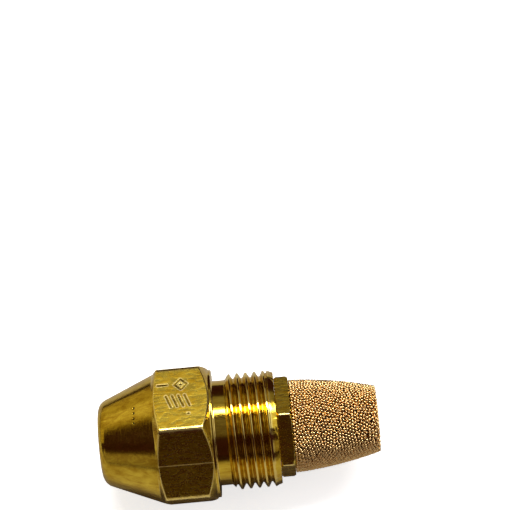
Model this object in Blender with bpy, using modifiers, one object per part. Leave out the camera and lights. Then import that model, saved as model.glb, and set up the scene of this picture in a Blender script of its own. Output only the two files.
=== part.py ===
"""Oil burner nozzle, 5/8 in across flats, with a screwed-in sintered bronze filter.

Each piece is turned about its local Z axis, which is the nozzle's axis: Z = 0 is the nose face and Z rises
towards the filter. One empty lays that axis along world X, with the nose at -X and a wrench flat downwards.
Sizes are in millimetres and become metres where a mesh is made. Outlines are lists of (z, radius).
"""

import math

import bmesh
import bpy
from mathutils import Matrix

MM = 0.001

# Driving dimensions.
OVERALL_LENGTH = 34.0
WRENCH_FLATS = 15.875
PITCH = 25.4 / 24
THREAD_SLOPE = math.tan(math.radians(30))
ROOT_FLAT = 0.13
THREAD_PLAY = 0.05
CUT_CLEARANCE = 0.1
SEAT_GAP = 0.1
EDGE = 0.2
SEGMENTS = 36
HALF_SEGMENT = math.pi / SEGMENTS

# Nozzle body, outside.
NOSE_ANGLE = math.radians(23.3)
NOSE_RADIUS = 4.9
NOSE_ROUNDING = 1.5
CONE_END = 6.95
HEX_CORNER_ROUNDING = 0.5
HEX_TURNED_RADIUS = 9.3
HEX_FRONT = 7.7
HEX_REAR = 12.65
COLLAR_START, COLLAR_END = 13.8, 14.12
COLLAR_RADIUS = 7.8
NECK_RADIUS = 6.4
BODY_THREAD_RADIUS = 7.09
BODY_THREAD_ROOT = 6.46
THREAD_START, THREAD_END = 15.65, 20.55
BODY_END = 21.6

# Nozzle body, inside: opening, disc bore, retainer thread, cavity and filter thread.
OPENING_RADIUS, OPENING_MOUTH, OPENING_DEPTH = 1.65, 1.95, 0.75
DISC_BORE, DISC_BORE_END = 3.2, 6.9
DISC_SEAT = 1.15
RETAINER_THREAD_MINOR, RETAINER_THREAD_MAJOR = 3.44, 4.0
RETAINER_RELIEF_START, RETAINER_RELIEF_END = 7.2, 7.8
RETAINER_THREAD_START, RETAINER_THREAD_END = 8.1, 12.5
CAVITY_START, CAVITY_END, CAVITY_RADIUS = 13.2, 15.8, 4.5
FILTER_RELIEF_START, FILTER_RELIEF_END, FILTER_RELIEF_RADIUS = 16.1, 16.8, 4.95
FILTER_THREAD_MINOR, FILTER_THREAD_MAJOR = 4.2, 4.78
FILTER_THREAD_START = 17.2

# Where the two internal grooves start, which the screws that fit them follow.
RETAINER_GROOVE, FILTER_GROOVE = 7.5, 16.5

# Orifice disc and distributor, which meet on a 45 degree cone.
DISC_RADIUS = DISC_BORE - 0.05
DISC_REAR, DISC_REAR_BORE = 3.6, 2.8
BOSS_RADIUS, BOSS_FRONT = 1.5, 0.5
ORIFICE_RADIUS, ORIFICE_START, ORIFICE_END = 0.1, 0.72, 0.92
ORIFICE_MOUTH = 0.55
SWIRL_RADIUS, SWIRL_START, SWIRL_REAR = 0.55, 1.2, 1.35
DISTRIBUTOR_TIP, DISTRIBUTOR_CONE_END, DISTRIBUTOR_REAR = 1.5, 3.5, 5.4
DIMPLE_RADIUS, DIMPLE_DEPTH = 0.42, 0.15
STEM_RADIUS, STEM_END = 1.3, 8.0
SLOT_COUNT, SLOT_LENGTH, SLOT_WIDTH, SLOT_DEPTH, SLOT_OFFSET = 4, 4.0, 0.3, 0.28, 0.36

# Retainer.
RETAINER_RADIUS, RETAINER_ROOT, RETAINER_CHAMFER = 3.9, 3.3, 0.5
RETAINER_BOSS_RADIUS = 2.9
RETAINER_BORE = 1.65
RETAINER_END = 12.2
DRIVER_SLOT_WIDTH, DRIVER_SLOT_DEPTH = 1.2, 1.2
CROSS_HOLE_RADIUS, CROSS_HOLE_PLACE = 0.6, 7.2

# Filter: a threaded brass adapter and the porous element pressed on its spigot.
ADAPTER_FLATS, ADAPTER_CORNER_ROUNDING = 11.11, 0.3
ADAPTER_TWIST = math.radians(-8.5)
ADAPTER_HEX_START, ADAPTER_HEX_END = 21.8, 23.35
ADAPTER_CHAMFER_LENGTH, ADAPTER_CHAMFER_HEIGHT = 0.25, 0.4
NIPPLE_START, NIPPLE_RUNOUT, NIPPLE_NECK_START = 17.5, 20.4, 20.8
NIPPLE_RADIUS, NIPPLE_ROOT, NIPPLE_NECK = 4.66, 4.02, 3.9
ADAPTER_BORE = 2.9
SPIGOT_RADIUS, SPIGOT_END = 4.3, 25.4
ELEMENT_BASE_RADIUS, ELEMENT_END_RADIUS = 5.72, 4.12
ELEMENT_BULGE = 0.27
ELEMENT_RIM = 0.25
ELEMENT_WALL = 0.95
ELEMENT_RINGS = 8

BRASS = ("brass", (0.62, 0.46, 0.16), 1.0, 0.28)
STEEL = ("stainless_steel", (0.56, 0.55, 0.53), 1.0, 0.3)
BRONZE = ("sintered_bronze", (0.55, 0.36, 0.18), 1.0, 0.45)


def clear_scene():
    for obj in list(bpy.data.objects):
        bpy.data.objects.remove(obj, do_unlink=True)


def new_collection(name):
    collection = bpy.data.collections.new(name)
    bpy.context.scene.collection.children.link(collection)
    return collection


def material(name, colour, metallic, roughness):
    """The named material, made once."""
    found = bpy.data.materials.get(name)
    if found:
        return found
    made = bpy.data.materials.new(name)
    made.use_nodes = True
    shader = made.node_tree.nodes["Principled BSDF"]
    shader.inputs["Base Color"].default_value = (*colour, 1.0)
    shader.inputs["Metallic"].default_value = metallic
    shader.inputs["Roughness"].default_value = roughness
    return made


def new_object(name, mesh, collection, parent):
    obj = bpy.data.objects.new(name, mesh)
    collection.objects.link(obj)
    obj.parent = parent
    return obj


def turned(name, profile, collection, parent):
    """A solid turned about Z from a closed outline of (z, radius) points.

    The outline runs down the outside from the filter end to the nose, and back up the inside.
    """
    mesh = bpy.data.meshes.new(name)
    across, aside = math.cos(HALF_SEGMENT) * MM, math.sin(HALF_SEGMENT) * MM
    points = [(radius * across, radius * aside, z * MM) for z, radius in profile]
    edges = [(i, (i + 1) % len(points)) for i in range(len(points))]
    if profile[0][1] == 0.0 and profile[-1][1] == 0.0:
        edges.pop()
    mesh.from_pydata(points, edges, [])
    obj = new_object(name, mesh, collection, parent)
    screw = obj.modifiers.new("turn", "SCREW")
    screw.axis = "Z"
    screw.steps = screw.render_steps = SEGMENTS
    screw.use_merge_vertices = True
    screw.merge_threshold = 1e-7
    screw.use_smooth_shade = True
    return obj


def as_cutter(obj):
    obj.hide_render = True
    obj.display_type = "WIRE"
    return obj


def boolean(obj, cutter, operation):
    modifier = obj.modifiers.new(f"{operation.lower()}_{cutter.name}", "BOOLEAN")
    modifier.operation = operation
    modifier.solver = "EXACT"
    modifier.object = cutter


def finish_piece(obj, finish):
    """Applies a piece's modifiers, shades its round walls smooth and gives it its material."""
    bpy.context.view_layer.update()
    shape = obj.evaluated_get(bpy.context.evaluated_depsgraph_get())
    mesh = bpy.data.meshes.new_from_object(shape)
    mesh.name = obj.name
    obj.modifiers.clear()
    obj.data = mesh
    mesh.shade_smooth()
    mesh.set_sharp_from_angle(angle=math.radians(30))
    mesh.materials.clear()
    mesh.materials.append(material(*finish))
    return obj


def hexagonal_bar(name, flats, z_from, z_to, rounding, twist, collection, parent):
    """A hexagonal prism with rounded corners and one pair of flats facing local X, then twisted about Z."""
    bm = bmesh.new()
    corner_radius = flats / math.sqrt(3) * MM
    bmesh.ops.create_cone(
        bm,
        cap_ends=True,
        segments=6,
        radius1=corner_radius,
        radius2=corner_radius,
        depth=(z_to - z_from) * MM,
    )
    upright = [e for e in bm.edges if abs(e.verts[0].co.z - e.verts[1].co.z) > MM]
    first = upright[0].verts[0].co
    to_flat = math.radians(30) - math.atan2(first.y, first.x)
    bmesh.ops.bevel(
        bm,
        geom=upright,
        offset=rounding * math.tan(math.radians(30)) * MM,
        segments=3,
        profile=0.5,
        affect="EDGES",
    )
    place = Matrix.Translation((0, 0, (z_from + z_to) / 2 * MM)) @ Matrix.Rotation(to_flat + twist, 4, "Z")
    bmesh.ops.transform(bm, matrix=place, verts=bm.verts)
    mesh = bpy.data.meshes.new(name)
    bm.to_mesh(mesh)
    bm.free()
    return new_object(name, mesh, collection, parent)


def box_cutter(name, size, place, collection, parent):
    bm = bmesh.new()
    bmesh.ops.create_cube(bm, size=1.0)
    bmesh.ops.scale(bm, vec=[side * MM for side in size], verts=bm.verts)
    bmesh.ops.transform(bm, matrix=place, verts=bm.verts)
    mesh = bpy.data.meshes.new(name)
    bm.to_mesh(mesh)
    bm.free()
    return as_cutter(new_object(name, mesh, collection, parent))


def drill_cutter(name, radius, length, place, collection, parent):
    bm = bmesh.new()
    bmesh.ops.create_cone(
        bm,
        cap_ends=True,
        segments=16,
        radius1=radius * MM,
        radius2=radius * MM,
        depth=length * MM,
    )
    bmesh.ops.transform(bm, matrix=place, verts=bm.verts)
    mesh = bpy.data.meshes.new(name)
    bm.to_mesh(mesh)
    bm.free()
    return as_cutter(new_object(name, mesh, collection, parent))


def thread_groove(name, root, crest, z_from, z_to, collection, parent, phase=0.0):
    """The space that a thread tool clears: a 60 degree V swept along a right-hand helix.

    root and crest are the thread's radii. An internal thread has the larger root, and play at its flanks.
    """
    inward = root > crest
    mouth = crest - CUT_CLEARANCE if inward else crest + CUT_CLEARANCE
    half_root = ROOT_FLAT / 2 + (THREAD_PLAY if inward else 0.0)
    half_mouth = half_root + abs(mouth - root) * THREAD_SLOPE
    outline = [(root, -half_root), (root, half_root), (mouth, half_mouth), (mouth, -half_mouth)]
    bm = bmesh.new()
    verts = [bm.verts.new((radius * MM, 0.0, z * MM)) for radius, z in outline]
    face = bm.faces.new(verts)
    steps = round((z_to - z_from) / PITCH * SEGMENTS)
    bmesh.ops.spin(
        bm,
        geom=[*verts, *face.edges, face],
        cent=(0, 0, 0),
        axis=(0, 0, 1),
        dvec=(0, 0, PITCH / SEGMENTS * MM),
        angle=2 * math.pi * steps / SEGMENTS,
        steps=steps,
    )
    bmesh.ops.holes_fill(bm, edges=[e for e in bm.edges if e.is_boundary])
    bmesh.ops.recalc_face_normals(bm, faces=bm.faces)
    place = Matrix.Translation((0, 0, z_from * MM)) @ Matrix.Rotation(HALF_SEGMENT + phase, 4, "Z")
    bmesh.ops.transform(bm, matrix=place, verts=bm.verts)
    mesh = bpy.data.meshes.new(name)
    bm.to_mesh(mesh)
    bm.free()
    return as_cutter(new_object(name, mesh, collection, parent))


def arc(centre, radius, start, end, count):
    """Points (z, radius) along a circular arc, with angles in radians from the +z direction."""
    angles = [start + (end - start) * i / count for i in range(count + 1)]
    return [(centre[0] + radius * math.cos(a), centre[1] + radius * math.sin(a)) for a in angles]


def nose_rounding():
    """The rounded rim between the cone and the nose face, from the cone to the face."""
    face_radius = NOSE_RADIUS - NOSE_ROUNDING * math.tan((math.pi / 2 - NOSE_ANGLE) / 2)
    return arc((NOSE_ROUNDING, face_radius), NOSE_ROUNDING, math.pi / 2 + NOSE_ANGLE, math.pi, 6)


def phase_between(z_from, mate_from):
    """The turn that starts a groove at z_from half a pitch away from a mating groove started at mate_from."""
    return 2 * math.pi * (z_from - mate_from) / PITCH + math.pi


def nozzle_body(parts, cutters, axis):
    cone_radius = NOSE_RADIUS + CONE_END * math.tan(NOSE_ANGLE)
    relief_radius = RETAINER_THREAD_MAJOR + 0.06
    mouth_radius = FILTER_THREAD_MAJOR + 0.1
    outside = [
        (BODY_END, mouth_radius),
        (BODY_END, NECK_RADIUS),
        (THREAD_END, BODY_THREAD_RADIUS),
        (THREAD_START + 0.6, BODY_THREAD_RADIUS),
        (THREAD_START, NECK_RADIUS),
        (COLLAR_END, NECK_RADIUS),
        (COLLAR_END, COLLAR_RADIUS),
        (COLLAR_START, COLLAR_RADIUS),
        (HEX_REAR, HEX_TURNED_RADIUS),
        (HEX_FRONT, HEX_TURNED_RADIUS),
        (CONE_END, cone_radius),
        *nose_rounding(),
    ]
    inside = [
        (0.0, OPENING_MOUTH),
        (OPENING_DEPTH, OPENING_RADIUS),
        (DISC_SEAT, OPENING_RADIUS),
        (DISC_SEAT, DISC_BORE),
        (DISC_BORE_END, DISC_BORE),
        (RETAINER_RELIEF_START, relief_radius),
        (RETAINER_RELIEF_END, relief_radius),
        (RETAINER_THREAD_START, RETAINER_THREAD_MINOR),
        (RETAINER_THREAD_END, RETAINER_THREAD_MINOR),
        (CAVITY_START, CAVITY_RADIUS),
        (CAVITY_END, CAVITY_RADIUS),
        (FILTER_RELIEF_START, FILTER_RELIEF_RADIUS),
        (FILTER_RELIEF_END, FILTER_RELIEF_RADIUS),
        (FILTER_THREAD_START, FILTER_THREAD_MINOR),
        (BODY_END - mouth_radius + FILTER_THREAD_MINOR, FILTER_THREAD_MINOR),
    ]
    body = turned("nozzle_body", outside + inside, parts, axis)
    bar = hexagonal_bar(
        "hexagonal_bar", WRENCH_FLATS, -2.0, BODY_END + 2.0, HEX_CORNER_ROUNDING, 0.0, cutters, axis
    )
    boolean(body, as_cutter(bar), "INTERSECT")
    past_end = BODY_END + 0.9
    grooves = [
        ("body_thread_groove", BODY_THREAD_ROOT, BODY_THREAD_RADIUS, THREAD_START - 0.3, past_end),
        ("retainer_bore_groove", RETAINER_THREAD_MAJOR, RETAINER_THREAD_MINOR, RETAINER_GROOVE, CAVITY_START),
        ("filter_bore_groove", FILTER_THREAD_MAJOR, FILTER_THREAD_MINOR, FILTER_GROOVE, past_end),
    ]
    for name, root, crest, z_from, z_to in grooves:
        boolean(body, thread_groove(name, root, crest, z_from, z_to, cutters, axis), "DIFFERENCE")
    return finish_piece(body, BRASS)


def orifice_disc(parts, axis):
    """The stainless disc with the metering hole, a conical seat behind it and a low boss in the opening."""
    front = DISC_SEAT + SEAT_GAP
    chamfer = 0.15
    profile = [
        (DISC_REAR, DISC_REAR_BORE),
        (DISC_REAR, DISC_RADIUS - chamfer),
        (DISC_REAR - chamfer, DISC_RADIUS),
        (front + chamfer, DISC_RADIUS),
        (front, DISC_RADIUS - chamfer),
        (front, BOSS_RADIUS),
        (BOSS_FRONT + chamfer, BOSS_RADIUS),
        (BOSS_FRONT, BOSS_RADIUS - chamfer),
        (BOSS_FRONT, ORIFICE_MOUTH),
        (ORIFICE_START, ORIFICE_RADIUS),
        (ORIFICE_END, ORIFICE_RADIUS),
        (SWIRL_START, SWIRL_RADIUS),
        (SWIRL_REAR, SWIRL_RADIUS),
    ]
    return finish_piece(turned("orifice_disc", profile, parts, axis), STEEL)


def distributor(parts, cutters, axis):
    """A coned plug with slots across its cone that lead the oil off-centre into the swirl chamber."""
    tip_radius = SWIRL_RADIUS + DISTRIBUTOR_TIP - SWIRL_REAR - SEAT_GAP
    rim_radius = tip_radius + DISTRIBUTOR_CONE_END - DISTRIBUTOR_TIP
    profile = [
        (STEM_END, 0.0),
        (STEM_END, STEM_RADIUS - EDGE),
        (STEM_END - EDGE, STEM_RADIUS),
        (DISTRIBUTOR_REAR, STEM_RADIUS),
        (DISTRIBUTOR_REAR, rim_radius - EDGE),
        (DISTRIBUTOR_REAR - EDGE, rim_radius),
        (DISTRIBUTOR_CONE_END, rim_radius),
        (DISTRIBUTOR_TIP, tip_radius),
        (DISTRIBUTOR_TIP, DIMPLE_RADIUS),
        (DISTRIBUTOR_TIP + DIMPLE_DEPTH, 0.0),
    ]
    plug = turned("distributor", profile, parts, axis)
    middle = (
        (tip_radius + rim_radius) / 2 * MM,
        SLOT_OFFSET * MM,
        (DISTRIBUTOR_TIP + DISTRIBUTOR_CONE_END) / 2 * MM,
    )
    along_cone = Matrix.Translation(middle) @ Matrix.Rotation(math.radians(-45), 4, "Y")
    for i in range(SLOT_COUNT):
        place = Matrix.Rotation(2 * math.pi * i / SLOT_COUNT, 4, "Z") @ along_cone
        size = (SLOT_LENGTH, SLOT_WIDTH, 2 * SLOT_DEPTH)
        boolean(plug, box_cutter(f"swirl_slot_{i + 1}", size, place, cutters, axis), "DIFFERENCE")
    return finish_piece(plug, STEEL)


def retainer(parts, cutters, axis):
    """The lock screw that presses the distributor into the disc, cross-drilled to feed oil around it."""
    front = DISTRIBUTOR_REAR + SEAT_GAP
    thread_front = RETAINER_THREAD_START + 0.2
    profile = [
        (RETAINER_END, RETAINER_BORE + EDGE),
        (RETAINER_END, RETAINER_RADIUS - RETAINER_CHAMFER),
        (RETAINER_END - RETAINER_CHAMFER, RETAINER_RADIUS),
        (thread_front + RETAINER_CHAMFER, RETAINER_RADIUS),
        (thread_front, RETAINER_BOSS_RADIUS),
        (front + EDGE, RETAINER_BOSS_RADIUS),
        (front, RETAINER_BOSS_RADIUS - EDGE),
        (front, RETAINER_BORE),
        (RETAINER_END - EDGE, RETAINER_BORE),
    ]
    screw = turned("retainer", profile, parts, axis)
    groove_from = thread_front - 0.5
    groove = thread_groove(
        "retainer_groove",
        RETAINER_ROOT,
        RETAINER_RADIUS,
        groove_from,
        RETAINER_END + 0.9,
        cutters,
        axis,
        phase_between(groove_from, RETAINER_GROOVE),
    )
    boolean(screw, groove, "DIFFERENCE")
    across = (3 * RETAINER_RADIUS, DRIVER_SLOT_WIDTH, 2 * DRIVER_SLOT_DEPTH)
    end = Matrix.Translation((0, 0, RETAINER_END * MM))
    boolean(screw, box_cutter("driver_slot", across, end, cutters, axis), "DIFFERENCE")
    sideways = Matrix.Translation((0, 0, CROSS_HOLE_PLACE * MM)) @ Matrix.Rotation(math.radians(90), 4, "X")
    length = 3 * RETAINER_BOSS_RADIUS
    hole = drill_cutter("cross_hole", CROSS_HOLE_RADIUS, length, sideways, cutters, axis)
    boolean(screw, hole, "DIFFERENCE")
    return finish_piece(screw, BRASS)


def filter_adapter(parts, cutters, axis):
    """The threaded nipple with its own small hexagon and the spigot that carries the porous element."""
    hex_radius = ADAPTER_FLATS / math.sqrt(3) + 0.1
    chamfered_radius = hex_radius - ADAPTER_CHAMFER_HEIGHT
    profile = [
        (SPIGOT_END, ADAPTER_BORE),
        (SPIGOT_END, SPIGOT_RADIUS - EDGE),
        (SPIGOT_END - EDGE, SPIGOT_RADIUS),
        (ADAPTER_HEX_END, SPIGOT_RADIUS),
        (ADAPTER_HEX_END, chamfered_radius),
        (ADAPTER_HEX_END - ADAPTER_CHAMFER_LENGTH, hex_radius),
        (ADAPTER_HEX_START + ADAPTER_CHAMFER_LENGTH, hex_radius),
        (ADAPTER_HEX_START, chamfered_radius),
        (ADAPTER_HEX_START, NIPPLE_NECK),
        (NIPPLE_NECK_START, NIPPLE_NECK),
        (NIPPLE_RUNOUT, NIPPLE_RADIUS),
        (NIPPLE_START + 0.5, NIPPLE_RADIUS),
        (NIPPLE_START, NIPPLE_NECK),
        (NIPPLE_START, ADAPTER_BORE + EDGE),
        (NIPPLE_START + EDGE, ADAPTER_BORE),
    ]
    adapter = turned("filter_adapter", profile, parts, axis)
    bar = hexagonal_bar(
        "adapter_bar",
        ADAPTER_FLATS,
        NIPPLE_START - 2,
        SPIGOT_END + 2,
        ADAPTER_CORNER_ROUNDING,
        ADAPTER_TWIST,
        cutters,
        axis,
    )
    boolean(adapter, as_cutter(bar), "INTERSECT")
    groove_from = NIPPLE_START - 0.9
    groove = thread_groove(
        "nipple_groove",
        NIPPLE_ROOT,
        NIPPLE_RADIUS,
        groove_from,
        NIPPLE_NECK_START + 0.15,
        cutters,
        axis,
        phase_between(groove_from, FILTER_GROOVE),
    )
    boolean(adapter, groove, "DIFFERENCE")
    return finish_piece(adapter, BRASS)


def sintered_filter(parts, axis):
    """A thimble of sintered bronze balls, closed at its far end, with slightly barrelled walls."""
    base = ADAPTER_HEX_END + SEAT_GAP
    bore = SPIGOT_RADIUS + SEAT_GAP
    tapered_length = OVERALL_LENGTH - ELEMENT_RIM - base
    walls = []
    for i in range(ELEMENT_RINGS + 1):
        share = 1 - i / ELEMENT_RINGS
        straight = ELEMENT_BASE_RADIUS + (ELEMENT_END_RADIUS - ELEMENT_BASE_RADIUS) * share
        walls.append((base + tapered_length * share, straight + ELEMENT_BULGE * 4 * share * (1 - share)))
    core_end = OVERALL_LENGTH - ELEMENT_WALL
    core_radius = ELEMENT_END_RADIUS - ELEMENT_WALL
    corner = 0.6
    profile = [
        (OVERALL_LENGTH, 0.0),
        (OVERALL_LENGTH, ELEMENT_END_RADIUS - ELEMENT_RIM),
        *walls,
        (base, bore),
        (SPIGOT_END + EDGE, bore),
        (core_end - corner, core_radius),
        (core_end, core_radius - corner),
        (core_end, 0.0),
    ]
    return finish_piece(turned("sintered_filter", profile, parts, axis), BRONZE)


def main():
    clear_scene()
    parts = new_collection("oil_burner_nozzle")
    cutters = new_collection("cutters")
    axis = bpy.data.objects.new("nozzle_axis", None)
    parts.objects.link(axis)
    axis.location = (-OVERALL_LENGTH / 2 * MM, 0, 0)
    axis.rotation_euler = (0, math.radians(90), 0)
    nozzle_body(parts, cutters, axis)
    orifice_disc(parts, axis)
    distributor(parts, cutters, axis)
    retainer(parts, cutters, axis)
    filter_adapter(parts, cutters, axis)
    sintered_filter(parts, axis)


main()
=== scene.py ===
"""Looks of the oil burner nozzle: fine meshes, materials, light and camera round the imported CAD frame.

Stations (s) run along the nozzle's axis from the nose face, radii (r) from the axis, both in millimetres.
Angles run round the axis from +Y towards +Z. World x is s minus half the overall length.
"""

import math

import bmesh
import bpy
import numpy as np
from mathutils import Matrix, Vector, kdtree, noise

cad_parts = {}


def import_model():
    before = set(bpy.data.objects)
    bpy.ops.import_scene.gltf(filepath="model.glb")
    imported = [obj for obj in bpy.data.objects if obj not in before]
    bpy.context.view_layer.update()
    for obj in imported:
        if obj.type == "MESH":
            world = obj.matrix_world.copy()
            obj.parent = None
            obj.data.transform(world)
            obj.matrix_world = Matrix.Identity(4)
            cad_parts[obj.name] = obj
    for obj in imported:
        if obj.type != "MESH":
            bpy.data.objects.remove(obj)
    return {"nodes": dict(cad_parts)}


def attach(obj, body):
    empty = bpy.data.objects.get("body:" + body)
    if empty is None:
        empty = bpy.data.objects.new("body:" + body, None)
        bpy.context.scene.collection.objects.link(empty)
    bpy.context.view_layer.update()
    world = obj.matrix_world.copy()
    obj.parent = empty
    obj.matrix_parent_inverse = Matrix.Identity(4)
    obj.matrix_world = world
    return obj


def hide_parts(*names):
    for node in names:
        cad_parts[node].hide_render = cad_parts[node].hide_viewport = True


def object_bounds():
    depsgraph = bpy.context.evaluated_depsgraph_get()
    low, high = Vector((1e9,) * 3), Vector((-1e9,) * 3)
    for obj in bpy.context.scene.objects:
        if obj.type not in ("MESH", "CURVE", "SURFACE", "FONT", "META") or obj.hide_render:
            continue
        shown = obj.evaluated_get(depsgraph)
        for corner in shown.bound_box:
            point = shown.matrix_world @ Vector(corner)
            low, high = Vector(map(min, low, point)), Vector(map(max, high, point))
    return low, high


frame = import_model()
CAD_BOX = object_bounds()

MM = 0.001
HALF_LENGTH = 17.0
LENGTH = 2 * HALF_LENGTH
PITCH = 25.4 / 24
SLOPE = math.tan(math.radians(30))

THREAD_FLAT = 0.13
THREAD_TURN = math.radians(5)

# Nozzle body, outside: the CAD part's sizes, apart from rounder corners and a longer, wider rear end.
FLAT = 7.9375
CORNER_ROUNDING = 0.75
NOSE_RADIUS = 4.9
NOSE_ROUNDING = 1.5
CONE_SLOPE = math.tan(math.radians(23.3))
CONE_END = 6.95
HEX_REAR, HEX_REAR_RADIUS = 12.65, 9.3
COLLAR_START, COLLAR_END, COLLAR_RADIUS = 13.8, 14.12, 7.8
NECK = 6.4
THREAD_START, THREAD_RADIUS, THREAD_ROOT = 15.65, 7.09, 6.46
LAND_START, LAND_END_RADIUS = 20.95, 6.78
BODY_END = 21.7

# Nozzle body, inside. Each stretch of its bore is (start, end, radius). Here the retainer's bore is plain,
# with no thread cut in it, so the retainer's thread sinks into its wall, out of sight.
OPENING_MOUTH = 1.95
DISC_SEAT = 1.15
OPENING = (0.75, DISC_SEAT, 1.65)
DISC_BORE = (DISC_SEAT, 6.9, 3.2)
RETAINER_RELIEF = (7.2, 7.8, 4.06)
RETAINER_THREAD = (8.1, 12.5, 3.44)
CAVITY = (13.2, 15.8, 4.5)
FILTER_RELIEF = (16.1, 16.8, 4.95)
FILTER_THREAD = (17.2, 20.92, 4.2)
FILTER_MOUTH = 4.88
FILTER_THREAD_ROOT = 4.78
FILTER_THREAD_PLAY = 0.05
FILTER_GROOVE = 16.5

# Orifice disc: the CAD part's sizes.
DISC_RADIUS, DISC_FRONT = 3.15, 1.25
DISC_REAR, DISC_REAR_BORE = 3.6, 2.8
BOSS_RADIUS, BOSS_FRONT = 1.5, 0.5
ORIFICE_RADIUS, ORIFICE_START, ORIFICE_END = 0.1, 0.72, 0.92
ORIFICE_MOUTH = 0.55
SWIRL_RADIUS, SWIRL_START, SWIRL_REAR = 0.55, 1.2, 1.35

# Filter adapter.
SMALL_FLAT = 5.555
SMALL_ROUNDING = 0.3
SMALL_TWIST = -8.5
SMALL_HEX = (21.705, 23.44)
SMALL_CORNER, SMALL_CHAMFERED = 6.514, 6.114
NIPPLE_START, NIPPLE_RUNOUT, NIPPLE_NECK_START = 17.5, 20.4, 20.8
NIPPLE_RADIUS, NIPPLE_ROOT, NIPPLE_NECK = 4.66, 4.02, 3.9
NIPPLE_GROOVE = 16.6
SPIGOT_END, SPIGOT_RADIUS = 25.4, 4.3
OIL_WAY = 2.9

# Filter.
BALL = 0.40
BALL_SPACING = 1.05 * BALL
INNER_BALLS_DEPTH = 0.28
FILTER_BASE = 23.45
BASE_RADIUS, END_RADIUS, BULGE = 5.72, 4.12, 0.27
CORE_INSET, CORE_GAP = 0.42, 0.02
CORE_LUMPS = 0.05
BASE_RIM_RADIUS = 4.55
WALL = 0.95
SPIGOT_BORE_END, SPIGOT_BORE = 25.6, 4.4

# Looks.
BRIGHT_BRASS = (0.86, 0.63, 0.07)
DULL_BRASS = (0.46, 0.26, 0.012)
# Pale brass for edges and crests: partly worn metal, partly a painted highlight.
WORN_AND_HIGHLIGHT_BRASS = (1.0, 0.88, 0.5)
PUNCHED_DOTS = ((-12.29, -0.12, 6.93), (-12.32, -0.81, 6.87), (-12.36, -1.49, 6.74), (-12.39, -2.07, 6.57))


# ---------------------------------------------------------------- meshes

def world(s, radius, angle):
    """World points in metres from stations, radii and angles in radians."""
    s, radius, angle = np.broadcast_arrays(s, radius, angle)
    return np.stack([s - HALF_LENGTH, radius * np.cos(angle), radius * np.sin(angle)], -1) * MM


def area_normals(mesh):
    """Vertex normals weighted by face area, which keeps large flats flat between rounded edges."""
    count = len(mesh.vertices)
    points = np.empty(count * 3, np.float32)
    mesh.vertices.foreach_get("co", points)
    points = points.reshape(-1, 3).astype(float)
    mesh.calc_loop_triangles()
    triangles = np.empty(len(mesh.loop_triangles) * 3, np.int32)
    mesh.loop_triangles.foreach_get("vertices", triangles)
    triangles = triangles.reshape(-1, 3)
    a, b, c = (points[triangles[:, i]] for i in range(3))
    cross = np.cross(b - a, c - a)
    normals = np.zeros((count, 3))
    for i in range(3):
        np.add.at(normals, triangles[:, i], cross)
    length = np.linalg.norm(normals, axis=1)
    length[length == 0] = 1.0
    return normals / length[:, None]


def volume_of(points, quads):
    """Six times the signed volume inside a closed mesh, which is negative if its faces look inwards."""
    a, b, c, d = (points[quads[:, i]] for i in range(4))
    return np.einsum("ij,ij->i", a, np.cross(b, c) + np.cross(c, d)).sum()


def ring_mesh(name, s, radius, angle, marks=None):
    """A closed solid turned about the axis, from (rows, columns) grids that go round a closed outline."""
    rows, columns = s.shape
    points = world(s, radius, angle[None, :]).reshape(-1, 3)
    row, column = np.meshgrid(np.arange(rows), np.arange(columns), indexing="ij")
    next_row, next_column = (row + 1) % rows, (column + 1) % columns
    corners = [row * columns + column, row * columns + next_column]
    corners += [next_row * columns + next_column, next_row * columns + column]
    quads = np.stack(corners, -1).reshape(-1, 4)
    if volume_of(points, quads) < 0:
        quads = quads[:, ::-1]
    mesh = bpy.data.meshes.new(name)
    mesh.from_pydata(points.tolist(), [], quads.tolist())
    for mark, values in (marks or {}).items():
        layer = mesh.attributes.new(mark, "FLOAT", "POINT")
        layer.data.foreach_set("value", np.ascontiguousarray(values, np.float32).ravel())
    mesh.shade_smooth()
    mesh.normals_split_custom_set_from_vertices(area_normals(mesh))
    return link(name, mesh)


def link(name, mesh):
    obj = bpy.data.objects.new(name, mesh)
    bpy.context.scene.collection.objects.link(obj)
    return obj


def put(obj, body, node, material):
    """Makes a finished piece stand for a CAD node."""
    obj.data.materials.clear()
    obj.data.materials.append(material)
    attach(obj, body)
    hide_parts(node)


def outline(corners, columns):
    """A closed outline with rounded corners, as (rows, columns) grids of s, r and edge wear with a painted
    highlight.

    Each corner is (s, r, rounding, steps), with s and r plain numbers or one value per column.
    """
    places = np.array([[np.broadcast_to(c[i], columns) for i in (0, 1)] for c in corners], float)
    places = places.transpose(0, 2, 1)
    before, after = np.roll(places, 1, 0) - places, np.roll(places, -1, 0) - places
    before_length = np.linalg.norm(before, axis=2)
    after_length = np.linalg.norm(after, axis=2)
    rows, wear_and_highlight = [], []
    for k, (_, _, rounding, steps) in enumerate(corners):
        u = before[k] / before_length[k][:, None]
        v = after[k] / after_length[k][:, None]
        bend = np.arccos(np.clip(-(u * v).sum(1), -1, 1))
        room = 0.46 * np.minimum(before_length[k], after_length[k])
        reach = np.minimum(rounding * np.tan(bend / 2), room)
        start, end = places[k] + u * reach[:, None], places[k] + v * reach[:, None]
        weight = np.cos(bend / 2)[:, None]
        for t in np.linspace(0, 1, steps):
            a, b, c = (1 - t) ** 2, 2 * t * (1 - t) * weight, t * t
            rows.append((a * start + b * places[k] + c * end) / (a + b + c))
            wear_and_highlight.append(np.full(columns, 4 * t * (1 - t)))
    grid = np.array(rows)
    return grid[:, :, 0], grid[:, :, 1], np.array(wear_and_highlight)


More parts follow.
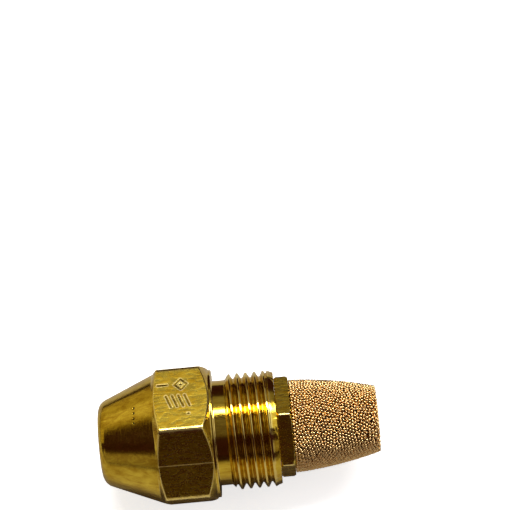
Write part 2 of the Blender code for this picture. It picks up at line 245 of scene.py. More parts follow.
def refine(s, r, wear_and_highlight, step):
    """Adds rows so that no row is further from the next than step, which is given stations and radii."""
    next_s, next_r, next_wear_and_highlight = (np.roll(x, -1, 0) for x in (s, r, wear_and_highlight))
    gap = np.hypot(next_s - s, next_r - r).max(axis=1)
    limit = step((s + next_s).mean(axis=1) / 2, (r + next_r).mean(axis=1) / 2)
    out = []
    for k in range(len(s)):
        parts = max(1, math.ceil(gap[k] / limit[k]))
        for i in range(parts):
            t = i / parts
            pairs = ((s, next_s), (r, next_r), (wear_and_highlight, next_wear_and_highlight))
            out.append([x[k] * (1 - t) + y[k] * t for x, y in pairs])
    out = np.array(out)
    return out[:, 0], out[:, 1], out[:, 2]


def hexagon(angle, flat, rounding, twist):
    """Distance from the axis to a hexagon with rounded corners, at each angle."""
    sector = np.mod(angle - math.radians(90 + twist), math.pi / 3)
    off_flat = np.minimum(sector, math.pi / 3 - sector)
    off_corner = math.pi / 6 - off_flat
    centre = (flat - rounding) / math.cos(math.pi / 6)
    tangent = math.atan2(rounding * 0.5, centre + rounding * math.cos(math.pi / 6))
    inside = np.clip(rounding**2 - (centre * np.sin(off_corner)) ** 2, 0, None)
    rounded = centre * np.cos(off_corner) + np.sqrt(inside)
    return np.where(off_corner < tangent, rounded, flat / np.cos(off_flat))


def corner_wear_and_highlight(angle, twist, reach):
    """1 along a hexagon's corners, where edge wear and a painted highlight go, falling to 0 at reach degrees
    from them.
    """
    sector = np.mod(angle - math.radians(60 + twist), math.pi / 3)
    off_corner = np.degrees(np.minimum(sector, math.pi / 3 - sector))
    return np.clip(1 - off_corner / reach, 0, 1)


def sector_angles(count, crowding, twist=0.0):
    """Angles for a whole turn, closer together at the corners of a hexagon."""
    t = np.linspace(0, 1, count, endpoint=False)
    eased = t - crowding * np.sin(2 * math.pi * t) / (2 * math.pi)
    corner = math.radians(60 + twist)
    return np.concatenate([corner + math.pi / 3 * (k + eased) for k in range(6)])


def smooth_min(a, b, width):
    """The smaller of two values, with a rounded change from one to the other."""
    h = np.clip(0.5 + 0.5 * (b - a) / width, 0, 1)
    return b * (1 - h) + a * h - width * h * (1 - h)


def groove(s, angle, start, root, crest, play=0.0, phase=0.0):
    """Radius of a 60 degree thread cut along a right-hand helix.

    An internal thread has its root above its crest.
    """
    turn = angle + math.pi / 2 - phase
    offset = s - start - PITCH * (turn - THREAD_TURN) / (2 * math.pi)
    across = np.abs(np.mod(offset + PITCH / 2, PITCH) - PITCH / 2)
    depth = np.clip(across - THREAD_FLAT / 2 - play, 0, None) / SLOPE
    return root + depth if crest > root else root - depth


def wobble(s, angle, radius, scale, seed):
    """Smooth noise at each point of a grid, from the shape's own place in space."""
    points = world(s, radius, angle[None, :]) / MM * scale
    flat = points.reshape(-1, 3) + seed
    return np.array([noise.noise(Vector(p)) for p in flat]).reshape(s.shape)


# ---------------------------------------------------------------- the pieces

def body_outside(angle):
    """The outer half of the nozzle body's section, corner by corner, for every column."""
    height = hexagon(angle, FLAT, CORNER_ROUNDING, 0.0)
    cone_radius = NOSE_RADIUS + CONE_END * CONE_SLOPE
    front = CONE_END + 0.24 + 0.38 * (height - FLAT)
    drop = (HEX_REAR_RADIUS - height) / (HEX_REAR_RADIUS - COLLAR_RADIUS)
    rear = HEX_REAR + drop * (COLLAR_START - HEX_REAR)
    return [
        (0.0, OPENING_MOUTH, 0.06, 3),
        (0.0, NOSE_RADIUS, NOSE_ROUNDING, 12),
        (CONE_END, cone_radius - 0.04, 0.15, 3),
        (front, height, 0.25, 5),
        (rear, height, 0.18, 5),
        (COLLAR_START, COLLAR_RADIUS, 0.06, 3),
        (COLLAR_END, COLLAR_RADIUS, 0.08, 4),
        (COLLAR_END, NECK, 0.12, 4),
        (THREAD_START, NECK, 0.1, 3),
        (THREAD_START + 0.6, THREAD_RADIUS, 0.05, 2),
        (LAND_START, THREAD_RADIUS, 0.08, 3),
        (BODY_END, LAND_END_RADIUS, 0.1, 4),
    ]


def body_inside():
    """The inner half of the nozzle body's section, from the filter's mouth to the nose opening."""
    corners = [(BODY_END, FILTER_MOUTH, 0.05, 3)]
    stretches = (FILTER_THREAD, FILTER_RELIEF, CAVITY, RETAINER_THREAD, RETAINER_RELIEF, DISC_BORE, OPENING)
    for start, end, radius in stretches:
        for s in (end, start):
            rounding = 0.03 if s == DISC_SEAT else 0.05
            corners.append((s, radius, rounding, 2))
    return corners


def body_step(s, r):
    """Row spacing along the body: fine on the outer thread, coarser inside, coarsest on plain faces."""
    threads = np.where(r > 5.5, 0.04, 0.075)
    return np.where(s > 15.4, threads, np.where((s > 7.5) & (s < 13.2), 1.0, 0.5))


def on_flats(s, r, height, start, end):
    """True where a grid's points lie on a hexagon's flats or corners between two stations."""
    return (np.abs(r - height) < 0.004) & (s > start) & (s < end)


def nozzle_body():
    angle = sector_angles(34, 0.75)
    s, r, wear_and_highlight = outline(body_outside(angle) + body_inside(), len(angle))
    s, r, wear_and_highlight = refine(s, r, wear_and_highlight, body_step)
    outer = r > 5.5
    shank = outer & (s > THREAD_START - 0.3)
    cut = groove(s, angle[None, :], THREAD_START - 0.3, THREAD_ROOT, THREAD_RADIUS)
    nick = np.clip(wobble(s, angle, r, 1.6, 3.0) - 0.12, 0, None)
    land = np.clip((s - LAND_START + 0.2) / 0.2, 0, 1)
    threaded = smooth_min(r, cut, 0.035) * (1 - land) + r * land
    r = np.where(shank, threaded - 0.1 * nick * land, r)
    inner = (r < 5.0) & (s > 16.9)
    crest = FILTER_THREAD[2]
    filter_cut = groove(s, angle[None, :], FILTER_GROOVE, FILTER_THREAD_ROOT, crest, FILTER_THREAD_PLAY)
    r = np.where(inner, -smooth_min(-r, -filter_cut, 0.03), r)
    height = hexagon(angle, FLAT, CORNER_ROUNDING, 0.0)[None, :]
    on_hexagon = on_flats(s, r, height, CONE_END - 0.45, COLLAR_START + 0.2)
    wear_and_highlight = np.maximum(wear_and_highlight, corner_wear_and_highlight(angle, 0.0, 2.8)[None, :] * on_hexagon)
    # Thread crests get the same mark: partly wear, partly a painted highlight along them.
    wear_and_highlight = np.where(shank, 0.6 * np.clip((r - THREAD_RADIUS + 0.1) / 0.08, 0, 1), wear_and_highlight)
    marks = {"flat": on_hexagon.astype(float), "wear_and_highlight": np.where(outer, wear_and_highlight, 0)}
    return ring_mesh("nozzle_body_fine", s, r, angle, marks)


def adapter_outline(angle):
    """The adapter's section: nipple, small chamfered hexagon, spigot and oil way."""
    height = hexagon(angle, SMALL_FLAT, SMALL_ROUNDING, SMALL_TWIST)
    low = np.minimum(height, SMALL_CHAMFERED)
    share = np.clip((height - SMALL_CHAMFERED) / (SMALL_CORNER - SMALL_CHAMFERED), 0, 1)
    ease = 0.12 + 0.13 * share
    start, end = SMALL_HEX
    return [
        (NIPPLE_START, NIPPLE_NECK, 0.05, 2),
        (NIPPLE_START + 0.5, NIPPLE_RADIUS, 0.05, 2),
        (NIPPLE_RUNOUT, NIPPLE_RADIUS, 0.05, 2),
        (NIPPLE_NECK_START, NIPPLE_NECK, 0.1, 2),
        (start, NIPPLE_NECK, 0.1, 3),
        (start, low, 0.06, 4),
        (start + ease, height, 0.15, 4),
        (end - ease, height, 0.15, 4),
        (end, low, 0.06, 4),
        (end, SPIGOT_RADIUS, 0.05, 2),
        (SPIGOT_END, SPIGOT_RADIUS, 0.2, 3),
        (SPIGOT_END, OIL_WAY, 0.1, 2),
        (NIPPLE_START, OIL_WAY, 0.2, 3),
    ]


def filter_adapter():
    angle = sector_angles(30, 0.75, SMALL_TWIST)
    s, r, wear_and_highlight = outline(adapter_outline(angle), len(angle))
    s, r, wear_and_highlight = refine(s, r, wear_and_highlight, lambda x, y: np.where(x < 21.2, 0.045, 0.5))
    nipple = (r > 3.4) & (s < 21.0)
    phase = 2 * math.pi * (NIPPLE_GROOVE - FILTER_GROOVE) / PITCH + math.pi
    cut = groove(s, angle[None, :], NIPPLE_GROOVE, NIPPLE_ROOT, NIPPLE_RADIUS, 0.0, phase)
    r = np.where(nipple, smooth_min(r, cut, 0.03), r)
    height = hexagon(angle, SMALL_FLAT, SMALL_ROUNDING, SMALL_TWIST)[None, :]
    on_hexagon = on_flats(s, r, height, *SMALL_HEX)
    wear_and_highlight = np.maximum(wear_and_highlight, corner_wear_and_highlight(angle, SMALL_TWIST, 2.5)[None, :] * on_hexagon)
    marks = {"flat": on_hexagon.astype(float), "wear_and_highlight": wear_and_highlight}
    return ring_mesh("filter_adapter_fine", s, r, angle, marks)


def orifice_disc():
    """The disc with its boss, countersunk metering hole, swirl chamber and conical seat."""
    angle = np.linspace(0, 2 * math.pi, 96, endpoint=False)
    corners = [
        (DISC_REAR, DISC_REAR_BORE, 0.03, 2),
        (DISC_REAR, DISC_RADIUS, 0.12, 4),
        (DISC_FRONT, DISC_RADIUS, 0.12, 4),
        (DISC_FRONT, BOSS_RADIUS, 0.05, 3),
        (BOSS_FRONT, BOSS_RADIUS, 0.12, 5),
        (BOSS_FRONT, ORIFICE_MOUTH, 0.05, 4),
        (ORIFICE_START, ORIFICE_RADIUS, 0.02, 3),
        (ORIFICE_END, ORIFICE_RADIUS, 0.02, 3),
        (SWIRL_START, SWIRL_RADIUS, 0.03, 3),
        (SWIRL_REAR, SWIRL_RADIUS, 0.03, 3),
    ]
    s, r, wear_and_highlight = outline(corners, len(angle))
    s, r, wear_and_highlight = refine(s, r, wear_and_highlight, lambda x, y: np.full(len(x), 0.15))
    return ring_mesh("orifice_disc_fine", s, r, angle, {"wear_and_highlight": wear_and_highlight})


def filter_radius(share):
    """The filter's slightly barrelled outer radius, at a share of its length from its base."""
    return BASE_RADIUS + (END_RADIUS - BASE_RADIUS) * share + BULGE * 4 * share * (1 - share)


def filter_core():
    """The porous mass behind the balls, with a lumpy surface, painted dark as shade between them."""
    angle = np.linspace(0, 2 * math.pi, 160, endpoint=False)
    base, tip = FILTER_BASE + CORE_GAP, LENGTH - CORE_INSET
    length = LENGTH - FILTER_BASE
    walls = []
    for share in np.linspace(0, 0.95, 9):
        walls.append((base + length * share * 0.95, filter_radius(share) - CORE_INSET, 0.1, 3))
    corners = [
        (base, SPIGOT_BORE, 0.02, 2),
        *walls,
        (tip, END_RADIUS - CORE_INSET - 0.2, 0.3, 4),
        (tip, 0.02, 0.01, 2),
        (LENGTH - WALL, 0.02, 0.01, 2),
        (LENGTH - WALL, END_RADIUS - WALL, 0.3, 3),
        (SPIGOT_BORE_END, SPIGOT_BORE, 0.1, 2),
    ]
    s, r, wear_and_highlight = outline(corners, len(angle))
    s, r, wear_and_highlight = refine(s, r, wear_and_highlight, lambda x, y: np.full(len(x), 0.14))
    lumps = wobble(s, angle, r, 3.2, 11.0)
    r = np.where(r > 0.3, r + CORE_LUMPS * lumps, r)
    # Tone 0 gives the core the darkest painted shade.
    return ring_mesh("filter_core", s, r, angle, {"ball": np.zeros_like(s)})


def meridian(inset):
    """Rows of (s, r) on the line that ball centres lie on: the filter's section, inset from its surface."""
    share = np.linspace(0, 1, 160)
    length = LENGTH - FILTER_BASE
    s = FILTER_BASE + inset + (length - 2 * inset) * share
    r = filter_radius(share) - inset * 1.01
    rim_r = np.linspace(BASE_RIM_RADIUS, r[0], 8)[:-1]
    cap_r = np.linspace(r[-1], 0, 60)[1:]
    rim = np.column_stack([np.full(len(rim_r), s[0]), rim_r])
    cap = np.column_stack([np.full(len(cap_r), s[-1]), cap_r])
    return np.vstack([rim, np.column_stack([s, r]), cap])


def dense(line, step):
    """The same line with its points evenly spaced."""
    length = np.concatenate([[0], np.cumsum(np.hypot(*np.diff(line, axis=0).T))])
    at = np.arange(0, length[-1], step)
    return np.column_stack([np.interp(at, length, line[:, i]) for i in (0, 1)])


def onto(points, line):
    """Moves points in (s, y, z) to the nearest place on a surface of revolution."""
    angle = np.arctan2(points[:, 2], points[:, 1])
    radius = np.hypot(points[:, 1], points[:, 2])
    off = (points[:, 0:1] - line[None, :, 0]) ** 2 + (radius[:, None] - line[None, :, 1]) ** 2
    nearest = line[off.argmin(axis=1)]
    return np.column_stack([nearest[:, 0], nearest[:, 1] * np.cos(angle), nearest[:, 1] * np.sin(angle)])


def close_pairs(points, reach):
    """Index pairs of points that lie within reach of each other."""
    tree = kdtree.KDTree(len(points))
    for i, p in enumerate(points):
        tree.insert(p, i)
    tree.balance()
    pairs = [(i, j) for i, p in enumerate(points) for _, j, _ in tree.find_range(p, reach) if j > i]
    return np.array(pairs)


def packed_balls(inset, spacing, cover, rounds, seed):
    """Centres of balls pushed apart on the filter's surface until they hardly overlap."""
    line = dense(meridian(inset), 0.02)
    steps = np.hypot(*np.diff(line, axis=0).T)
    weights = steps * (line[1:, 1] + line[:-1, 1])
    area = math.pi * weights.sum()
    count = int(area * cover / (math.pi * BALL**2 / 4))
    rng = np.random.default_rng(seed)
    pick = rng.choice(len(weights), count, p=weights / weights.sum())
    turn = rng.uniform(0, 2 * math.pi, count)
    s, r = line[pick].T
    points = np.column_stack([s, r * np.cos(turn), r * np.sin(turn)])
    for k in range(rounds):
        if k % 8 == 0:
            pairs = close_pairs(points, spacing * 1.6)
        gap = points[pairs[:, 0]] - points[pairs[:, 1]]
        distance = np.linalg.norm(gap, axis=1) + 1e-9
        push = np.clip(spacing - distance, 0, None) * 0.48 / distance
        move = gap * push[:, None]
        np.add.at(points, pairs[:, 0], move)
        np.add.at(points, pairs[:, 1], -move)
        points = onto(points, line)
    return points


def ball_template():
    """Points and faces of one small round ball."""
    bm = bmesh.new()
    bmesh.ops.create_icosphere(bm, subdivisions=2, radius=1.0)
    bm.verts.ensure_lookup_table()
    points = np.array([v.co for v in bm.verts])
    faces = np.array([[v.index for v in f.verts] for f in bm.faces])
    bm.free()
    return points, faces


def balls(name, centres, template, seed, tones_and_shade):
    """One mesh of separate balls, each with its own size and tone, where low tones are painted shade."""
    rng = np.random.default_rng(seed)
    shape, faces = template
    count = len(centres)
    radius = BALL / 2 * rng.uniform(0.86, 0.99, count)
    middle = centres.copy()
    middle[:, 0] -= HALF_LENGTH
    points = (middle[:, None, :] + shape[None] * radius[:, None, None]).reshape(-1, 3) * MM
    triangles = (faces[None] + np.arange(count)[:, None, None] * len(shape)).reshape(-1, 3)
    mesh = bpy.data.meshes.new(name)
    mesh.from_pydata(points.tolist(), [], triangles.tolist())
    layer = mesh.attributes.new("ball", "FLOAT", "POINT")
    tone = np.repeat(rng.uniform(*tones_and_shade, count), len(shape))
    layer.data.foreach_set("value", tone.astype(np.float32))
    mesh.shade_smooth()
    return link(name, mesh)


# ---------------------------------------------------------------- materials

class Shader:
    """A small helper that builds one node material round a Principled shader."""

    def __init__(self, name):
        self.material = bpy.data.materials.new(name)
        self.material.use_nodes = True
        self.tree = self.material.node_tree
        self.surface = self.tree.nodes["Principled BSDF"]
        place = self.add("ShaderNodeTexCoord").outputs["Object"]
        per_mm = {0: place, 1: (1000, 1000, 1000)}
        self.place = self.add("ShaderNodeVectorMath", per_mm, operation="MULTIPLY").outputs[0]

    def add(self, kind, inputs=None, **settings):
        node = self.tree.nodes.new(kind)
        for key, value in settings.items():
            setattr(node, key, value)
        for key, value in (inputs or {}).items():
            self.feed(node.inputs[key], value)
        return node

    def feed(self, socket, value):
        if isinstance(value, bpy.types.NodeSocket):
            self.tree.links.new(value, socket)
        else:
            socket.default_value = value

    def set(self, **inputs):
        for key, value in inputs.items():
            self.feed(self.surface.inputs[key.replace("_", " ")], value)

    def math(self, operation, *values, clamp=False):
        inputs = dict(enumerate(values))
        return self.add("ShaderNodeMath", inputs, operation=operation, use_clamp=clamp).outputs[0]

    def vector_math(self, operation, value, output):
        inputs = {0: self.place, 1: value}
        return self.add("ShaderNodeVectorMath", inputs, operation=operation).outputs[output]

    def stretched(self, scale):
        return self.vector_math("MULTIPLY", scale, "Vector")

    def along(self, direction):
        """How far a place lies along a direction, in millimetres."""
        return self.vector_math("DOT_PRODUCT", direction, "Value")

    def distance(self, point):
        """Distance from a point, in millimetres."""
        return self.vector_math("DISTANCE", point, "Value")

    def noise(self, scale, detail=4.0, rough=0.55, distortion=0.0):
        """Noise with a scale per millimetre along each axis."""
        inputs = {"Vector": self.stretched(scale), "Scale": 1.0, "Detail": detail, "Roughness": rough}
        inputs["Distortion"] = distortion
        return self.add("ShaderNodeTexNoise", inputs).outputs[0]

    def spread(self, value, low, high, to_low=0.0, to_high=1.0):
        """Maps low to to_low and high to to_high, and holds values beyond them."""
        inputs = {0: value, 1: low, 2: high, 3: to_low, 4: to_high}
        return self.add("ShaderNodeMapRange", inputs).outputs[0]

    def mark(self, name):
        """A value that the mesh carries."""
        return self.add("ShaderNodeAttribute", attribute_name=name).outputs["Fac"]

    def blend(self, share, a, b):
        """Colour a where share is 0, colour b where it is 1."""
        inputs = {0: share, 6: colour(a), 7: colour(b)}
        return self.add("ShaderNodeMix", inputs, data_type="RGBA").outputs[2]

    def mix_value(self, share, a, b):
        """Value a where share is 0, value b where it is 1."""
        rest = self.math("SUBTRACT", 1.0, share)
        return self.math("ADD", self.math("MULTIPLY", a, rest), self.math("MULTIPLY", b, share))

    def bump(self, height, strength, distance, below=None):
        inputs = {"Height": height, "Strength": strength, "Distance": distance}
        if below is not None:
            inputs["Normal"] = below
        return self.add("ShaderNodeBump", inputs).outputs[0]


def colour(value):
    return (*value, 1.0) if isinstance(value, tuple) and len(value) == 3 else value


def stamps(shader):
    """Distance to plain marks on the upper flat: a diamond with a dot, a dash, slanted strokes and a dot."""
    x, y, z = shader.add("ShaderNodeSeparateXYZ", {0: shader.place}).outputs
    tips = [(-7.2, 2.05), (-6.45, 2.8), (-5.7, 2.05), (-6.45, 1.3)]
    strokes = list(zip(tips, tips[1:] + tips[:1]))
    strokes.append(((-6.5, 2.05), (-6.4, 2.05)))
    strokes.append(((-9.2, 2.1), (-8.1, 2.1)))
    strokes += [((left, 0.45), (left + 0.55, -1.15)) for left in (-8.3, -7.55, -6.8, -6.05)]
    strokes.append(((-5.75, -2.3), (-5.65, -2.3)))
    away = 1.0
    for start, end in strokes:
        away = shader.math("MINIMUM", away, distance_to(shader, x, y, start, end))
    return shader.math("ADD", away, shader.math("LESS_THAN", z, 7.9))


def distance_to(shader, x, y, start, end):
    """Distance from a point on the flat to a straight stroke."""
    dx, dy = end[0] - start[0], end[1] - start[1]
    px, py = shader.math("SUBTRACT", x, start[0]), shader.math("SUBTRACT", y, start[1])
    along = shader.math("ADD", shader.math("MULTIPLY", px, dx), shader.math("MULTIPLY", py, dy))
    share = shader.math("DIVIDE", along, dx * dx + dy * dy, clamp=True)
    qx = shader.math("SUBTRACT", px, shader.math("MULTIPLY", share, dx))
    qy = shader.math("SUBTRACT", py, shader.math("MULTIPLY", share, dy))
    square = shader.math("ADD", shader.math("MULTIPLY", qx, qx), shader.math("MULTIPLY", qy, qy))
    return shader.math("SQRT", square)


def pale_flat_line(shader):
    """A long thin pale line across the front upper flat."""
    up_the_flat, outward = (0.012, 0.5, 0.866), (0.0, -0.866, 0.5)
    across = shader.math("ABSOLUTE", shader.math("ADD", shader.along(up_the_flat), 0.12))
    on_flat = shader.math("GREATER_THAN", shader.along(outward), 7.9)
    return shader.math("MULTIPLY", shader.spread(across, 0.02, 0.09, 1.0, 0.0), on_flat)


def dots(shader):
    """A short row of punched dots on the nose cone."""
    found = 0.0
    for point in PUNCHED_DOTS:
        hole = shader.spread(shader.distance(point), 0.06, 0.17, 1.0, 0.0)
        found = shader.math("MAXIMUM", found, hole)
    return found


def brass_colour(shader, flat, wear_and_highlight, streaks, mottle):
    """Bright brass with dull tarnish, streaked on turned faces and mottled on flats, and pale edges that are
    partly worn brass and partly a painted highlight.
    """
    patches = shader.spread(shader.noise((0.45, 0.6, 0.6), 5.0, 0.6), 0.38, 0.66)
    tone = shader.mix_value(flat, shader.spread(streaks, 0.38, 0.66), shader.spread(mottle, 0.41, 0.61))
    patches, tone = shader.math("MULTIPLY", patches, 0.4), shader.math("MULTIPLY", tone, 0.7)
    amount = shader.math("ADD", patches, tone, clamp=True)
    amount = shader.math("SUBTRACT", amount, shader.math("MULTIPLY", wear_and_highlight, 0.6), clamp=True)
    base = shader.blend(amount, BRIGHT_BRASS, DULL_BRASS)
    # Paler towards corners, edges and thread crests: partly worn brass, partly a painted highlight.
    return shader.blend(shader.math("MULTIPLY", wear_and_highlight, 0.5), base, WORN_AND_HIGHLIGHT_BRASS)


def marked(shader, base, rough, normal):
    """Adds the stamped marks and the punched dots, with painted shade in them and a painted highlight on the
    marks' lips, and a pale line, to a brass surface.
    """
    away, holes = stamps(shader), dots(shader)
    depth = shader.spread(away, 0.03, 0.13, 1.0, 0.0)
    relief = shader.math("MULTIPLY", shader.math("ADD", depth, holes), -1.0)
    normal = shader.bump(relief, 1.0, 0.0001, normal)
    from_lip = shader.math("ABSOLUTE", shader.math("SUBTRACT", away, 0.19))
    painted_lip_highlight = shader.spread(from_lip, 0.03, 0.09, 1.0, 0.0)
    # Painted highlight on the lip round each stamped mark.
    base = shader.blend(shader.math("MULTIPLY", painted_lip_highlight, 0.32), base, (1.0, 0.94, 0.55))
    rough = shader.math("ADD", rough, shader.math("MULTIPLY", painted_lip_highlight, 0.05))
    # Painted shade at the bottom of the stamped marks and, next, in the punched dots.
    base = shader.blend(shader.spread(depth, 0.75, 1.0, 0.0, 0.5), base, (0.25, 0.14, 0.02))
    base = shader.blend(shader.math("MULTIPLY", holes, 0.95), base, (0.03, 0.015, 0.005))
    # A pale line across the front upper flat, rougher than the brass round it.
    line = pale_flat_line(shader)
    base = shader.blend(line, base, (1.0, 0.8, 0.3))
    rough = shader.math("ADD", rough, shader.math("MULTIPLY", line, 0.25))
    return base, rough, normal


def brass(name, with_marks=False):
    """Turned and drawn brass: lathe rings on round faces, drawn lines on flats, tarnish, and worn edges with
    a painted highlight.
    """
    shader = Shader(name)
    flat, wear_and_highlight = shader.mark("flat"), shader.mark("wear_and_highlight")
    rings = shader.noise((14.0, 0.25, 0.25), 5.0, 0.6)
    streaks = shader.noise((0.25, 1.6, 1.6), 5.0, 0.65, 0.6)
    lines = shader.noise((0.35, 4.0, 4.0), 4.0, 0.6)
    mottle = shader.noise((1.0, 2.3, 2.3), 3.0, 0.55)
    base = brass_colour(shader, flat, wear_and_highlight, streaks, mottle)
    drawn = shader.math("ADD", shader.math("MULTIPLY", lines, 0.8), shader.math("MULTIPLY", mottle, 3.2))
    normal = shader.bump(shader.mix_value(flat, rings, drawn), 0.4, 0.00002)
    rough_turned = shader.spread(streaks, 0.3, 0.7, 0.1, 0.18)
    rough_drawn = shader.spread(mottle, 0.35, 0.65, 0.22, 0.34)
    rough = shader.mix_value(flat, rough_turned, rough_drawn)
    rough = shader.math("SUBTRACT", rough, shader.math("MULTIPLY", wear_and_highlight, 0.06))
    if with_marks:
        base, rough, normal = marked(shader, base, rough, normal)
    shader.set(Base_Color=base, Metallic=1.0, Roughness=rough, Normal=normal)
    return shader.material


def steel(name):
    """Turned stainless steel with faint patches."""
    shader = Shader(name)
    rings = shader.noise((12.0, 0.3, 0.3), 4.0, 0.6)
    patches = shader.noise((0.8, 0.8, 0.8), 4.0, 0.6)
    base = shader.blend(shader.spread(patches, 0.3, 0.7), (0.6, 0.59, 0.57), (0.42, 0.41, 0.4))
    rough = shader.spread(rings, 0.3, 0.7, 0.2, 0.36)
    normal = shader.bump(rings, 0.3, 0.00002)
    shader.set(Base_Color=base, Metallic=1.0, Roughness=rough, Normal=normal)
    return shader.material


def bronze(name):
    """Sintered bronze: every ball has its own tone, with fine oxide specks; the inner balls and the core get
    painted shade.
    """
    shader = Shader(name)
    tone = shader.mark("ball")
    specks = shader.noise((6.0, 6.0, 6.0), 3.0, 0.6)
    own = shader.blend(shader.spread(tone, 0.4, 1.0), (0.78, 0.50, 0.21), (1.0, 0.72, 0.34))
    # Painted shade: low tones, on the inner balls and the core, go dark brown.
    own = shader.blend(shader.spread(tone, 0.0, 0.5), (0.10, 0.055, 0.025), own)
    base = shader.blend(shader.spread(specks, 0.5, 0.8, 0.0, 0.4), own, (0.35, 0.18, 0.07))
    rough = shader.spread(specks, 0.3, 0.7, 0.12, 0.24)
    normal = shader.bump(specks, 0.15, 0.00001)
    shader.set(Base_Color=base, Metallic=1.0, Roughness=rough, Normal=normal)
    return shader.material


# ---------------------------------------------------------------- the stage

def floor(height):
    """A plain pale table top, as the camera sees it.

    Reflections and bounced light see painted light instead: a painted pool of light, a painted bright patch
    and the dark beyond them.
    """
    mesh = bpy.data.meshes.new("floor")
    side = 1.5
    corners = [(-side, -side), (side, -side), (side, side), (-side, side)]
    mesh.from_pydata([(x, y, height) for x, y in corners], [], [(0, 1, 2, 3)])
    obj = link("floor", mesh)
    shader = Shader("pale_floor")
    grain = shader.noise((0.02, 0.02, 0.02), 3.0, 0.5)
    pale = shader.blend(grain, (0.93, 0.93, 0.93), (0.9, 0.9, 0.9))
    # Painted light that only reflections see: a pool of light and a bright patch on the table, dark beyond
    # them.
    painted_light_pool = shader.spread(shader.distance((-30.0, 45.0, -8.0)), 85.0, 120.0, 1.0, 0.0)
    seen = shader.blend(painted_light_pool, (0.030, 0.012, 0.012), (0.42, 0.39, 0.335))
    painted_bright_patch = shader.spread(shader.distance((80.0, 20.0, -8.0)), 30.0, 50.0, 1.0, 0.0)
    seen = shader.blend(painted_bright_patch, seen, (0.95, 0.92, 0.85))
    direct = shader.add("ShaderNodeLightPath").outputs["Is Camera Ray"]
    shader.set(Base_Color=shader.blend(direct, seen, pale), Roughness=0.8)
    shader.set(Emission_Color=(1, 1, 1, 1), Emission_Strength=shader.math("MULTIPLY", direct, 0.75))
    shader.set(Specular_IOR_Level=0.0)
    mesh.materials.append(shader.material)


def soft_light(name, place, width, length, radiance, spread=180.0, tint=(1.0, 1.0, 1.0)):
    """A rectangular soft light that faces the object, its length in the same plane as the nozzle's axis."""
    data = bpy.data.lights.new(name, "AREA")
    data.shape = "RECTANGLE"
    data.size, data.size_y = length, width
    data.energy = radiance * math.pi * width * length
    data.spread = math.radians(spread)
    data.color = tint
    obj = bpy.data.objects.new(name, data)
    bpy.context.scene.collection.objects.link(obj)
    back = Vector(place).normalized()
    up = back.cross(Vector((1, 0, 0))).normalized()
    along = up.cross(back).normalized()
    turn = Matrix((along, up, back)).transposed()
    obj.matrix_world = Matrix.Translation(place) @ turn.to_4x4()
    obj.visible_camera = False


def above(angle, distance, x=0.0):
    """A place at an angle round the axis: 0 at the front horizon, 90 straight up, 180 at the back."""
    a = math.radians(angle)
    return (x, -distance * math.cos(a), distance * math.sin(a))


def lights():
    """Soft lights round the nozzle, each placed for the reflection that it gives."""
    soft_light("strip_light", above(103, 0.5, 0.13), 0.085, 0.75, 8.2, 120)
    soft_light("rear_soft_light", above(125, 0.5), 0.3, 1.1, 0.2)
    soft_light("front_soft_light", above(66, 0.5), 0.36, 1.0, 0.1)
    soft_light("left_soft_light", (-0.435, 0.272, 0.197), 0.6, 0.8, 0.41, 180, (1.0, 0.85, 0.33))
    soft_light("left_front_light", (-0.083, -0.070, 0.0095), 0.035, 0.09, 0.24, 180, (1.0, 0.88, 0.6))
    soft_light("right_soft_light", (0.39, -0.035, 0.31), 0.4, 0.7, 0.8)
    soft_light("right_front_light", (0.31, -0.36, 0.07), 0.16, 0.3, 0.3, 180, (1.0, 0.92, 0.72))
    studio_world()


def studio_world():
    """A dark room for reflections, with a pale backdrop straight behind the object in every view."""
    made = bpy.data.worlds.new("studio")
    made.use_nodes = True
    tree = made.node_tree
    mix = tree.nodes.new("ShaderNodeMix")
    mix.data_type = "RGBA"
    mix.inputs[6].default_value = (0.032, 0.009, 0.012, 1)
    mix.inputs[7].default_value = (0.85, 0.85, 0.85, 1)
    path = tree.nodes.new("ShaderNodeLightPath")
    tree.links.new(path.outputs["Is Camera Ray"], mix.inputs[0])
    tree.links.new(mix.outputs[2], tree.nodes["Background"].inputs["Color"])
    bpy.context.scene.world = made


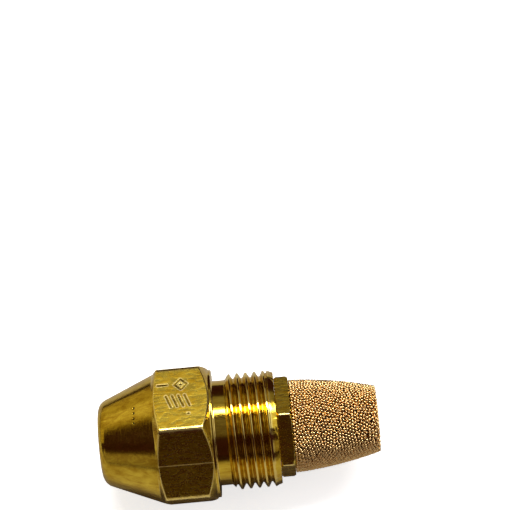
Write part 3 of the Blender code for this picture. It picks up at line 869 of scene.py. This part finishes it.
def camera():
    """The photograph's viewpoint, fitted to the nozzle's outline."""
    data = bpy.data.cameras.new("camera")
    data.sensor_width = 36.0
    data.lens = 141.2
    data.clip_start, data.clip_end = 0.01, 10.0
    obj = bpy.data.objects.new("camera", data)
    bpy.context.scene.collection.objects.link(obj)
    right = Vector((0.99564, -0.06943, -0.06228))
    up = Vector((0.09321, 0.76344, 0.63912))
    back = right.cross(up)
    place = Vector((4.678, -141.022, 201.511)) * MM
    obj.matrix_world = Matrix.Translation(place) @ Matrix((right, up, back)).transposed().to_4x4()
    bpy.context.scene.camera = obj


def filter_pieces(look):
    """The filter: an outer layer of balls in two meshes, an inner layer with painted shade and the core."""
    template = ball_template()
    outer = packed_balls(BALL / 2, BALL_SPACING, 0.87, 140, 5)
    inner = packed_balls(BALL / 2 + INNER_BALLS_DEPTH, BALL_SPACING, 0.8, 70, 6)
    middle = len(outer) // 2
    order = np.argsort(outer[:, 0])
    # The inner layer's low tones and the core's tone 0 are painted shade.
    outer_tones, inner_shaded_tones = (0.55, 1.0), (0.28, 0.48)
    groups = {
        "filter_balls_base": (outer[order[:middle]], outer_tones),
        "filter_balls_tip": (outer[order[middle:]], outer_tones),
        "filter_balls_inner": (inner, inner_shaded_tones),
    }
    for seed, (name, (centres, tones_and_shade)) in enumerate(groups.items()):
        piece = balls(name, centres, template, seed, tones_and_shade)
        put(piece, "filter_element", "sintered_filter", look)
    put(filter_core(), "filter_element", "sintered_filter", look)


def main():
    put(nozzle_body(), "nozzle", "nozzle_body", brass("brass_body_look", True))
    put(orifice_disc(), "nozzle", "orifice_disc", steel("stainless_disc_look"))
    put(filter_adapter(), "adapter", "filter_adapter", brass("brass_adapter_look"))
    filter_pieces(bronze("sintered_bronze_look"))
    plain = {"distributor": steel("stainless_distributor_look"), "retainer": brass("brass_retainer_look")}
    for name, look in plain.items():
        piece = frame["nodes"][name]
        piece.data.materials.clear()
        piece.data.materials.append(look)
    floor(CAD_BOX[0].z)
    lights()
    camera()
    bpy.context.scene.view_settings.view_transform = "Standard"


main()
